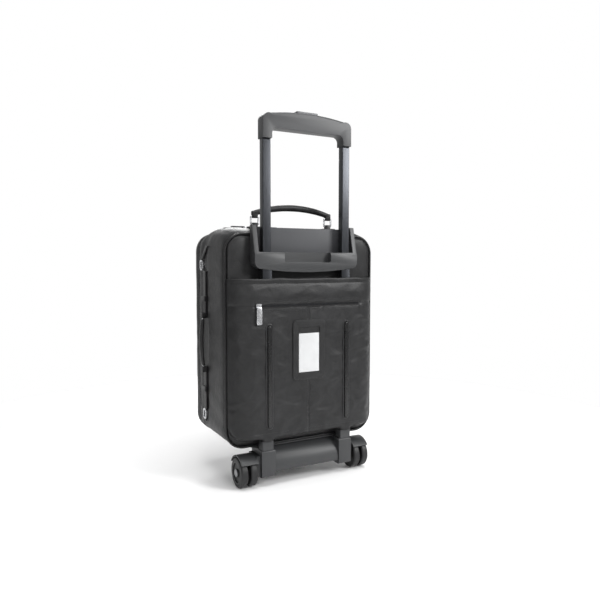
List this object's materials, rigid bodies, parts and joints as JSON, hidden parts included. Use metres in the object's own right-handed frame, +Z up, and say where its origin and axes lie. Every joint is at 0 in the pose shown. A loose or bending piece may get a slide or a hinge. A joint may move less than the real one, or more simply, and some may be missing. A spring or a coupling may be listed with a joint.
{
  "type": "rolling laptop case",
  "caption": "Upright leather case on wheels with a telescoping pull handle, arched carry handle, side handle, zipped back pocket, skid rails, card holder and hinged front lid.",
  "frame": {"origin": "floor level, at the middle of the case's width and depth", "axes": "+Z up, -Y is the front with the lid, +Y is the back with the pull handle, +X is the side with the side handle"},
  "size_m": [0.3895, 0.24, 0.802],
  "materials": {
    "leather": "satin",
    "piping": "satin",
    "tag_leather": "satin",
    "card": "matte",
    "lining": "matte",
    "zip_tape": "matte",
    "black_plastic": "matte",
    "button_plastic": "satin",
    "rail_plastic": "gloss",
    "grey_plastic": "matte",
    "anodised_tube": "satin",
    "steel": "satin",
    "bright_metal": "polished",
    "tyre": "matte",
    "hub": "matte"
  },
  "bodies": {
    "case": {"back_panel": "leather", "gusset_top": "leather", "gusset_bottom": "leather", "gusset_left": "leather", "gusset_right": "leather", "piping_back": "piping", "base_tray": "black_plastic", "back_pocket": "leather", "zip_tapes": "zip_tape", "skid_rail_left": "rail_plastic", "skid_rail_right": "rail_plastic", "tag_frame": "tag_leather", "id_card": "card", "handle_bezel": "black_plastic", "recess_plate": "grey_plastic", "outer_tube_left": "anodised_tube", "outer_tube_right": "anodised_tube", "tube_sockets": "black_plastic", "wheel_bracket_left": "black_plastic", "wheel_bracket_right": "black_plastic", "wheel_hood_left": "black_plastic", "wheel_hood_right": "black_plastic", "axles": "steel", "kick_plate": "black_plastic", "front_foot": "black_plastic", "lid_hinge": "leather", "handle_chapes": "leather", "laptop_sleeve": "lining", "side_straps": "leather", "strap_rings": "bright_metal"},
    "lid": {"lid_panel": "leather", "lid_gusset": "leather", "front_pocket_upper": "leather", "front_pocket_lower": "leather", "front_zip": "zip_tape", "lid_zip": "zip_tape"},
    "pull_handle": {"grip_shell": "black_plastic", "inner_tube_left": "anodised_tube", "inner_tube_right": "anodised_tube", "tube_plugs": "black_plastic"},
    "release_button": {"release_button": "button_plastic", "push_rods": "anodised_tube"},
    "lock_pins": {"lock_pins": "steel"},
    "carry_handle": {"carry_grip": "leather", "carry_loops": "bright_metal"},
    "side_handle": {"side_grip": "leather"},
    "pocket_slider": {"pocket_slider": "bright_metal"},
    "pocket_puller": {"pocket_puller": "bright_metal"},
    "front_slider": {"front_slider": "bright_metal"},
    "front_puller": {"front_puller": "bright_metal"},
    "top_pull_left": {"top_pull_left": "bright_metal"},
    "top_pull_right": {"top_pull_right": "bright_metal"},
    "wheel_left_inner": {"tyre_left_inner": "tyre", "hub_left_inner": "hub"},
    "wheel_left_outer": {"tyre_left_outer": "tyre", "hub_left_outer": "hub"},
    "wheel_right_inner": {"tyre_right_inner": "tyre", "hub_right_inner": "hub"},
    "wheel_right_outer": {"tyre_right_outer": "tyre", "hub_right_outer": "hub"}
  },
  "joints": [
    {"name": "lid_hinge", "type": "hinge", "parent": "case", "child": "lid", "pos_m": [-0.184, -0.08, 0.316], "axis": [0, 0, -1], "range_deg": [0, 115]},
    {"name": "pull_handle_slide", "type": "slide", "parent": "case", "child": "pull_handle", "axis": [0, 0, 1], "range_m": [-0.234, 0.15]},
    {"name": "button_press", "type": "slide", "parent": "pull_handle", "child": "release_button", "axis": [0, 0, -1], "range_m": [0, 0.004], "stiffness_N_per_m": 500, "springref_m": -0.004},
    {"name": "lock_pin_slide", "type": "slide", "parent": "pull_handle", "child": "lock_pins", "axis": [0, -1, 0], "range_m": [0, 0.002]},
    {"name": "carry_handle_hinge", "type": "hinge", "parent": "case", "child": "carry_handle", "pos_m": [0, 0.035, 0.565], "axis": [1, 0, 0], "range_deg": [-80, 40]},
    {"name": "side_handle_hinge", "type": "hinge", "parent": "case", "child": "side_handle", "pos_m": [0.1915, -0.033, 0.3015], "axis": [0, 0, 1], "range_deg": [-18, 18]},
    {"name": "pocket_slider_slide", "type": "slide", "parent": "case", "child": "pocket_slider", "axis": [-1, 0, 0], "range_m": [0, 0.243]},
    {"name": "pocket_puller_hinge", "type": "hinge", "parent": "pocket_slider", "child": "pocket_puller", "pos_m": [0.12, 0.1202, 0.387], "axis": [1, 0, 0], "range_deg": [0, 150]},
    {"name": "front_slider_slide", "type": "slide", "parent": "lid", "child": "front_slider", "axis": [-1, 0, 0], "range_m": [0, 0.28]},
    {"name": "front_puller_hinge", "type": "hinge", "parent": "front_slider", "child": "front_puller", "pos_m": [0.14, -0.1086, 0.389], "axis": [-1, 0, 0], "range_deg": [0, 150]},
    {"name": "top_pull_left_hinge", "type": "hinge", "parent": "case", "child": "top_pull_left", "pos_m": [0.051, -0.005, 0.5614], "axis": [0, 1, 0], "range_deg": [0, 120]},
    {"name": "top_pull_right_hinge", "type": "hinge", "parent": "case", "child": "top_pull_right", "pos_m": [0.103, -0.005, 0.5614], "axis": [0, -1, 0], "range_deg": [0, 120]},
    {"name": "wheel_left_inner_spin", "type": "hinge", "parent": "case", "child": "wheel_left_inner", "pos_m": [-0.1291, 0.083, 0.032], "axis": [1, 0, 0], "continuous": true},
    {"name": "wheel_left_outer_spin", "type": "hinge", "parent": "case", "child": "wheel_left_outer", "pos_m": [-0.151, 0.083, 0.032], "axis": [1, 0, 0], "continuous": true},
    {"name": "wheel_right_inner_spin", "type": "hinge", "parent": "case", "child": "wheel_right_inner", "pos_m": [0.1291, 0.083, 0.032], "axis": [1, 0, 0], "continuous": true},
    {"name": "wheel_right_outer_spin", "type": "hinge", "parent": "case", "child": "wheel_right_outer", "pos_m": [0.151, 0.083, 0.032], "axis": [1, 0, 0], "continuous": true}
  ],
  "couplings": [
    {"joint": "lock_pin_slide", "follows": "button_press", "ratio": 0.5}
  ]
}
